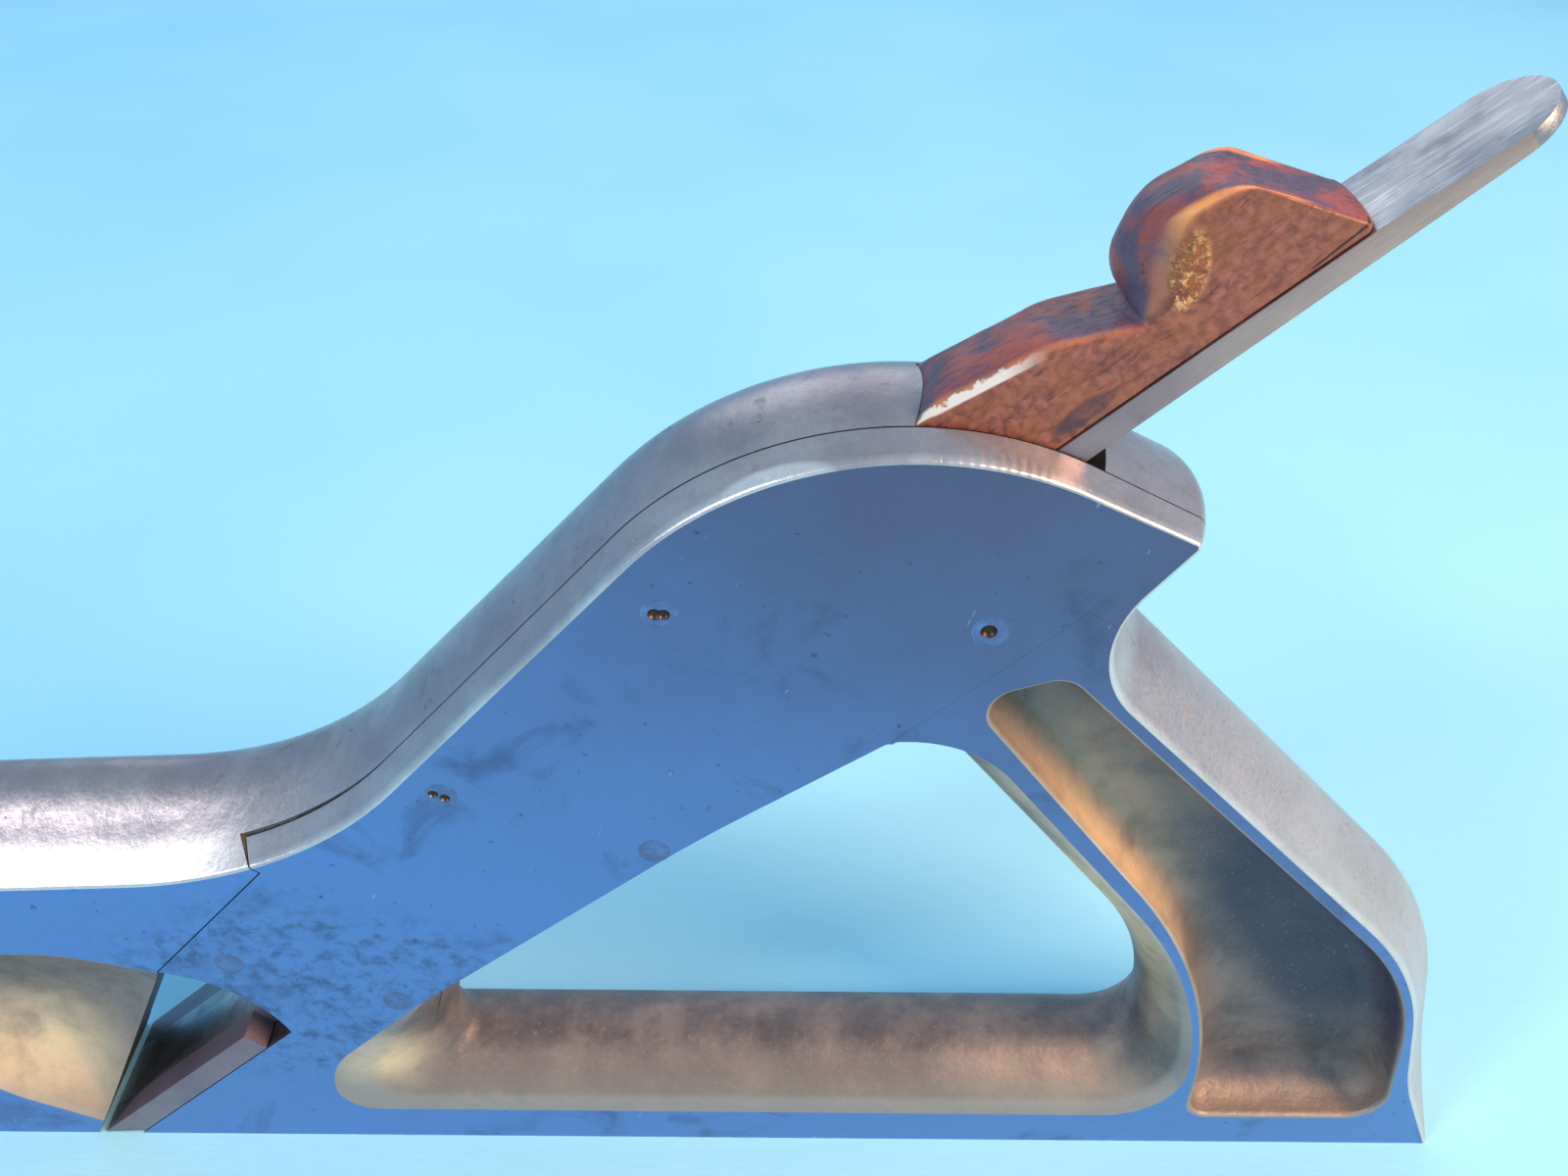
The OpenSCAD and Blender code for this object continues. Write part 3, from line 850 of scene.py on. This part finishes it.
for name, place in pin_places.items():
    pin = pin_tool(place, pin_diameter)
    pin.name = "iron_" + name
    bpy.ops.object.mode_set(mode="EDIT")
    bpy.ops.transform.resize(value=(1, body_width / (body_width + 2 * past), 1), center_override=(0, 0, 0))
    bpy.ops.mesh.select_mode(type="FACE")
    bpy.ops.mesh.select_all(action="DESELECT")
    bpy.ops.object.mode_set(mode="OBJECT")
    for face in pin.data.polygons:
        face.select = abs(face.normal.y) > 0.9
    bpy.ops.object.mode_set(mode="EDIT")
    bpy.ops.mesh.inset(thickness=ring_width * mm, depth=-ring_depth * mm, use_individual=True)
    bpy.ops.mesh.inset(thickness=ring_width * mm, depth=ring_depth * mm, use_individual=True)
    bpy.ops.object.mode_set(mode="OBJECT")
    for x, z, radius in pin_pits[name]:
        bpy.ops.mesh.primitive_ico_sphere_add(
            subdivisions=4, radius=radius * mm,
            location=((place[0] + x) * mm, (-half_width - radius * 0.25) * mm, (place[1] + z) * mm))
        pit = bpy.context.object
        bpy.ops.object.transform_apply()
        carve(pin, pit)
    shade(pin, 30)
    pin.data.materials.clear()
    pin.data.materials.append(pin_iron)
    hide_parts(name)
    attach(pin, "plane_body")

# Blade
# Tool steel blade, as wide as the plane at its cutting part, with a narrow shank.
# The shank thins towards its round end and slides up the bed under the wedge.
shank_width = channel_width - 2 * slide_clearance
tip_u = cut_u + blade_length
end_u = tip_u - 15
thin_u = wedge_exit_u + 10.5
thin_thickness = blade_thickness - 0.9
end_thickness = blade_thickness - 1.2
tip_thickness = 1.15
blade_wear = 0.12
steel_dull = (0.25, 0.24, 0.27, 1)
steel_pale = (0.68, 0.61, 0.58, 1)
steel_bright = (0.72, 0.71, 0.70, 1)
steel_rust = (0.14, 0.11, 0.10, 1)
side_violet = (0.20, 0.12, 0.17, 1)
side_tan = (0.50, 0.30, 0.24, 1)
side_grit = (0.22, 0.17, 0.16, 1)


def lift(u, y, v):
    """Point of the row frame from its place up the bed, across and off the bed."""
    x, z = on_bed(u, v)
    return Vector((x, y, z)) * mm


def top_of_blade(u):
    """Thickness of the blade at a height up the bed."""
    stations = ((cut_u, blade_thickness), (0, blade_thickness), (thin_u, thin_thickness),
                (end_u, end_thickness), (tip_u, tip_thickness))
    for (a, high), (b, low) in zip(stations, stations[1:]):
        if u <= b:
            return high + (low - high) * (u - a) / (b - a)
    return tip_thickness


bpy.ops.mesh.primitive_circle_add(vertices=96, radius=shank_width / 2, fill_type="NGON")
blade = bpy.context.object
blade.name = "steel_blade"
bpy.ops.object.mode_set(mode="EDIT")
bpy.ops.transform.translate(value=(tip_u - shank_width / 2, 0, 0))
bpy.ops.object.mode_set(mode="OBJECT")
for point in blade.data.vertices:
    if point.co.x < tip_u - shank_width / 2 - 0.01:
        point.co.x = shoulder_height
        point.co.y = shank_width / 2 * (1 if point.co.y > 0 else -1)
bpy.ops.object.mode_set(mode="EDIT")
bpy.ops.mesh.select_all(action="SELECT")
bpy.ops.mesh.remove_doubles(threshold=0.0005)
bpy.ops.mesh.extrude_region_move(TRANSFORM_OT_translate={"value": (0, 0, blade_thickness)})
bpy.ops.object.mode_set(mode="OBJECT")
bpy.ops.mesh.primitive_cube_add(size=1)
cutter = bpy.context.object
bpy.ops.object.mode_set(mode="EDIT")
bpy.ops.transform.resize(value=(shoulder_height - cut_u, body_width, blade_thickness))
bpy.ops.transform.translate(value=((shoulder_height + cut_u) / 2 + 0.0005, 0, blade_thickness / 2))
bpy.ops.object.mode_set(mode="OBJECT")
carve(blade, cutter, "UNION")
for u in (shoulder_height / 2, thin_u, end_u):
    bpy.ops.object.mode_set(mode="EDIT")
    bpy.ops.mesh.select_all(action="SELECT")
    bpy.ops.mesh.bisect(plane_co=(u, 0, 0), plane_no=(1, 0, 0))
    bpy.ops.object.mode_set(mode="OBJECT")
heel_u = cut_u + blade_thickness / tan(radians(bed_angle - edge_clearance))
for point in blade.data.vertices:
    u, y, v = point.co
    if v > 0.01:
        v = top_of_blade(u)
    elif u < cut_u + 0.01:
        u = heel_u
    point.co = lift(u, y, v)
bpy.ops.object.select_all(action="DESELECT")
blade.select_set(True)
bpy.context.view_layer.objects.active = blade
bpy.ops.object.mode_set(mode="EDIT")
bpy.ops.mesh.select_all(action="SELECT")
bpy.ops.mesh.normals_make_consistent(inside=False)
bpy.ops.object.mode_set(mode="OBJECT")
rounding = blade.modifiers.new("worn edges", "BEVEL")
rounding.width = blade_wear * mm
rounding.segments = 3
rounding.limit_method = "ANGLE"
rounding.angle_limit = radians(50)
bpy.ops.object.modifier_apply(modifier=rounding.name)
bpy.ops.object.shade_smooth_by_angle(angle=radians(35))

steel = new_material("blade_steel")
tree = steel.node_tree
bed_place = in_mm(tree, (1, 1, 1), radians(bed_angle))
clouds = noise(tree, bed_place, 14, 5.0)
along_marks = noise(tree, in_mm(tree, (0.03, 1, 1), radians(bed_angle)), 0.28, 4.0, 0.6)
fine_marks = noise(tree, in_mm(tree, (0.05, 1, 1), radians(bed_angle)), 0.12, 3.0, 0.6)
rust = between(tree, noise(tree, bed_place, 5, 6.0, 0.65, 0.5), 0.5, 0.68)
colour = blend_colour(tree, between(tree, clouds, 0.3, 0.7), steel_dull, steel_pale)
colour = blend_colour(tree, between(tree, along_marks, 0.5, 0.75, 0, 0.5), colour, steel_bright)
colour = blend_colour(tree, maths(tree, "MULTIPLY", rust, 0.4), colour, steel_rust)
split = add_node(tree, "ShaderNodeSeparateXYZ", {0: bed_place})
off_middle = maths(tree, "ABSOLUTE", split.outputs[1])
side = between(tree, off_middle, shank_width / 2 - 0.12, shank_width / 2 - 0.06)
cloudy_u = maths(tree, "ADD", split.outputs[0], maths(tree, "MULTIPLY", clouds, 30.0))
worn_tan = between(tree, cloudy_u, 120, 165)
strip = blend_colour(tree, worn_tan, side_violet, side_tan)
strip = blend_colour(tree, between(tree, fine_marks, 0.45, 0.7, 0, 0.4), strip, side_grit)
colour = blend_colour(tree, maths(tree, "MULTIPLY", side, 0.85), colour, strip)
rough = between(tree, along_marks, 0.3, 0.75, 0.42, 0.26)
metal = maths(tree, "SUBTRACT", 0.95, maths(tree, "MULTIPLY", side, 0.45))
finish_material(steel, colour, rough, metal, bump(tree, fine_marks, 0.012, bump(tree, along_marks, 0.02)))
blade.data.materials.clear()
blade.data.materials.append(steel)
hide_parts("blade")
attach(blade, "blade")

# Wedge
# Hardwood wedge, sawn to the channel and carved by hand: a long stem, a finger notch
# and a round head. Its edges are worn pale, and its top is dark from handling.
wedge_width = shank_width - 0.2
wedge_gap = 0.09
wedge_tip_u = 34
edge_wear = 0.3
pale_wear = 0.45
pale_from = 141.0
pale_to = 152.5
stretch = 0.6


def split_long(rim, crest, longest):
    """Two matching outlines with every long stretch split in step."""
    rims, crests = [], []
    for i in range(len(rim)):
        p, q = rim[i], rim[(i + 1) % len(rim)]
        r, t = crest[i], crest[(i + 1) % len(crest)]
        count = max(1, int(max((q - p).length, (t - r).length) / longest))
        rims += [p + (q - p) * k / count for k in range(count)]
        crests += [r + (t - r) * k / count for k in range(count)]
    return rims, crests


def pulled_in(points, distances):
    """Outline moved inwards by its own distance at each point."""
    moved = []
    count = len(points)
    for i, p in enumerate(points):
        before = next(points[i - k] for k in range(1, count) if (points[i - k] - p).length > 1e-4)
        after = next(points[(i + k) % count] for k in range(1, count)
                     if (points[(i + k) % count] - p).length > 1e-4)
        run = (after - before).normalized()
        moved.append(p + Vector((-run.y, run.x)) * distances[i])
    return moved


shank_fall = degrees(atan((blade_thickness - thin_thickness) / thin_u))
end_fall = degrees(atan((thin_thickness - end_thickness) / (end_u - thin_u)))
wedge_under = top_of_blade(wedge_exit_u) + wedge_gap
wedge_over = wall_top(wedge_exit_u) - slide_clearance
under_lines = [
    (wedge_exit_u, wedge_under, -shank_fall), (thin_u, thin_thickness + wedge_gap, -end_fall)]
stem_lines = [(wedge_exit_u, wedge_over, 180 + wedge_angle), (wedge_tip_u, 3, 270)]
rim_lines = under_lines + [
    (wedge_exit_u + 35.6, 4, 118), (wedge_exit_u + 29.3, 11.6, 168), (wedge_exit_u + 26.5, 10.1, 255),
    (wedge_exit_u + 21.5, 6.9, 197), (wedge_exit_u + 17.5, 7.8, 152),
    (wedge_exit_u + 8.7, 10.8, 169), (wedge_exit_u, wedge_over, 179 + wedge_angle)] + stem_lines
crest_lines = under_lines + [
    (wedge_exit_u + 36, 3.7, 124), (wedge_exit_u + 27, 13.4, 170), (wedge_exit_u + 21.1, 12.6, 207),
    (wedge_exit_u + 19.3, 10.6, 266), (wedge_exit_u + 16.5, 8.9, 152),
    (wedge_exit_u + 7.5, 12.3, 167), (wedge_exit_u, wedge_over, 187)] + stem_lines
rim_turns = [
    (0, 0), (0.6, 1), (2.4, 2), (1.8, 2), (3, 1), (0.6, 1), (8, 2), (2.5, 1), (0, 0), (0, 0), (0, 0)]
crest_turns = [
    (0, 0), (0.4, 1), (6, 2), (6, 2), (4, 1), (0.5, 1), (10, 2), (6, 1), (0, 0), (0, 0), (0, 0)]
rim, crest = split_long(outline(rim_lines, rim_turns), outline(crest_lines, crest_turns), stretch)
half = wedge_width / 2
ring_angles = [-90, -86, -81, -75] + [-68 + 6.8 * k for k in range(21)] + [75, 81, 86, 90]
loops = []
for angle in ring_angles:
    depth = half * sin(radians(angle))
    points = [p + (q - p) * cos(radians(angle)) for p, q in zip(rim, crest)]
    wears = []
    for p in rim:
        pale = depth < 0 and pale_from < p.x < pale_to and p.y > 9
        wear = pale_wear if pale else edge_wear
        near = max(0.0, 1 - (half - abs(depth)) / wear)
        wears.append(wear * (1 - sqrt(max(0.0, 1 - near * near))))
    loops.append([(p.x, depth, p.y) for p in pulled_in(points, wears)])
wedge = shell("wooden_wedge", loops)

# Carving marks on the head, deepest where the knife left the grain open
chip_place = Vector((71.0, -half, 119.3))
chip_reach = Vector((1.5, 2.0, 3.3))
chip_depth = 0.4
broad_cut = 0.32
fine_cut = 0.12
for point in wedge.data.vertices:
    u, y, v = point.co / mm
    if u > wedge_exit_u + 0.5:
        place = Vector((u, y, v))
        cut = noise_at(place * 0.16) * broad_cut + noise_at(place * 0.5) * fine_cut
        far_off = lift(u, y, v) / mm - chip_place
        away = Vector((far_off[k] / chip_reach[k] for k in range(3))).length
        if away < 1:
            cut -= (1 - away * away) * (chip_depth + 0.35 * noise_at(place * 1.3))
        free = min(1, (u - wedge_exit_u - 0.5) / 3) * min(1, 0.15 + (half - abs(y)) / 0.8)
        if v > wedge_under + 0.6 and abs(point.normal.y) < 0.98:
            u, y, v = place + point.normal * cut * free
    point.co = lift(u, y, v)
shade(wedge, 40)

wood_dark = linear(112, 54, 40)
wood_light = linear(182, 104, 78)
wood_pore = linear(66, 30, 28)
wood_orange = linear(160, 88, 50)
wood_purple = linear(88, 74, 98)
wood_red = linear(170, 78, 64)
worn_orange = linear(255, 160, 92)
worn_pale = linear(240, 222, 206)
chip_gold = linear(255, 184, 118)
chip_deep = linear(176, 84, 44)
oil_stain = linear(62, 42, 54)
stain_place = (150.9, -half, 3.9)
crack_slope = 0.06
crack_offset = crack_slope * 173 - 2.78
bed_shift = (-mouth_x * cos(radians(bed_angle)), 0, mouth_x * sin(radians(bed_angle)))

wood = new_material("wedge_wood")
tree = wood.node_tree
place = in_mm(tree, (1, 1, 1), radians(bed_angle), bed_shift)
split = add_node(tree, "ShaderNodeSeparateXYZ", {0: place})
up, across, off = split.outputs
mottle = noise(tree, place, 0.9, 5.0, 0.6, 0.4)
grain = noise(tree, in_mm(tree, (0.16, 1, 0.8), radians(bed_angle)), 0.42, 5.0, 0.62, 0.3)
figure = noise(tree, in_mm(tree, (0.35, 1, 1), radians(bed_angle)), 2.6, 3.0)
grime = noise(tree, place, 4.5, 5.0, 0.55, 0.5)
ragged = maths(tree, "MULTIPLY_ADD", mottle, 0.5, -0.25)

colour = blend_colour(tree, between(tree, mottle, 0.24, 0.76), wood_dark, wood_light)
colour = blend_colour(tree, between(tree, grain, 0.52, 0.72, 0, 0.75), colour, wood_pore)
colour = blend_colour(tree, between(tree, figure, 0.4, 0.65, 0, 0.5), colour, wood_orange)
depth = maths(tree, "ABSOLUTE", across)
face = between(tree, maths(tree, "ADD", depth, ragged), half - 0.75, half - 0.1)
above = between(tree, up, wedge_exit_u - 0.5, wedge_exit_u + 2)
top = maths(tree, "MULTIPLY", maths(tree, "SUBTRACT", 1.0, face), above)
patina = blend_colour(tree, between(tree, grime, 0.4, 0.62), wood_purple, wood_red)
patina = blend_colour(tree, between(tree, grain, 0.5, 0.72, 0, 0.5), patina, wood_pore)
colour = blend_colour(tree, maths(tree, "MULTIPLY", top, 0.88), colour, patina)
band = between(tree, depth, half - 1.1, half - 0.5)
band = maths(tree, "MULTIPLY", band, between(tree, depth, half - 0.02, half - 0.3))
band = maths(tree, "MULTIPLY", band, between(tree, grime, 0.34, 0.52, 0.55, 1))
band = maths(tree, "MULTIPLY", band, between(tree, up, 163.5, 167.0, 0.3, 1))
band = maths(tree, "MULTIPLY", band, maths(tree, "MULTIPLY", above, between(tree, off, 6.5, 8.5)))
colour = blend_colour(tree, band, colour, worn_orange)

ragged_across = maths(tree, "ADD", across, maths(tree, "MULTIPLY", ragged, 3.6))
pale = between(tree, ragged_across, -half + 0.58, -half + 0.36)
pale = maths(tree, "MULTIPLY", pale, between(tree, across, -half + 0.02, -half + 0.06))
pale = maths(tree, "MULTIPLY", pale, between(tree, off, 9.0, 9.8))
pale = maths(tree, "MULTIPLY", pale, between(tree, up, pale_to, pale_to - 5.0))
colour = blend_colour(tree, pale, colour, worn_pale)

chip = spot(tree, in_mm(tree), chip_place, chip_reach)
fibre = between(tree, noise(tree, place, 0.8, 6.0, 0.7, 0.6), 0.40, 0.60)
chip = maths(tree, "MULTIPLY", chip, between(tree, mottle, 0.38, 0.46))
colour = blend_colour(tree, chip, colour, blend_colour(tree, fibre, chip_deep, chip_gold))
stain = maths(tree, "MULTIPLY", spot(tree, place, stain_place, (3.2, 0.5, 0.9)), 0.8)
stain = maths(tree, "MULTIPLY", stain, between(tree, grime, 0.3, 0.5, 0.4, 1))
colour = blend_colour(tree, stain, colour, oil_stain)
line = maths(tree, "MULTIPLY_ADD", up, -crack_slope, crack_offset)
line = maths(tree, "ADD", off, line)
line = maths(tree, "ADD", line, maths(tree, "MULTIPLY", ragged, 0.3))
line = maths(tree, "ABSOLUTE", line)
crack = maths(tree, "MULTIPLY", between(tree, line, 0.12, 0.05), between(tree, up, 170.3, 171.3))
crack = maths(tree, "MULTIPLY", crack, between(tree, across, -half + 1.2, -half + 0.8))
colour = blend_colour(tree, crack, colour, wood_pore)

rough = between(tree, grain, 0.35, 0.7, 0.36, 0.56)
relief = maths(tree, "MULTIPLY", grain, 0.6)
relief = maths(tree, "ADD", relief, maths(tree, "MULTIPLY", mottle, 0.4))
relief = maths(tree, "SUBTRACT", relief, maths(tree, "MULTIPLY", crack, 2.0))
relief = maths(tree, "ADD", relief, maths(tree, "MULTIPLY", maths(tree, "MULTIPLY", chip, fibre), 3.0))
finish_material(wood, colour, rough, 0.0, bump(tree, relief, 0.07), Specular_IOR_Level=0.5)
wedge.data.materials.clear()
wedge.data.materials.append(wood)
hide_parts("wedge")
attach(wedge, "wedge")
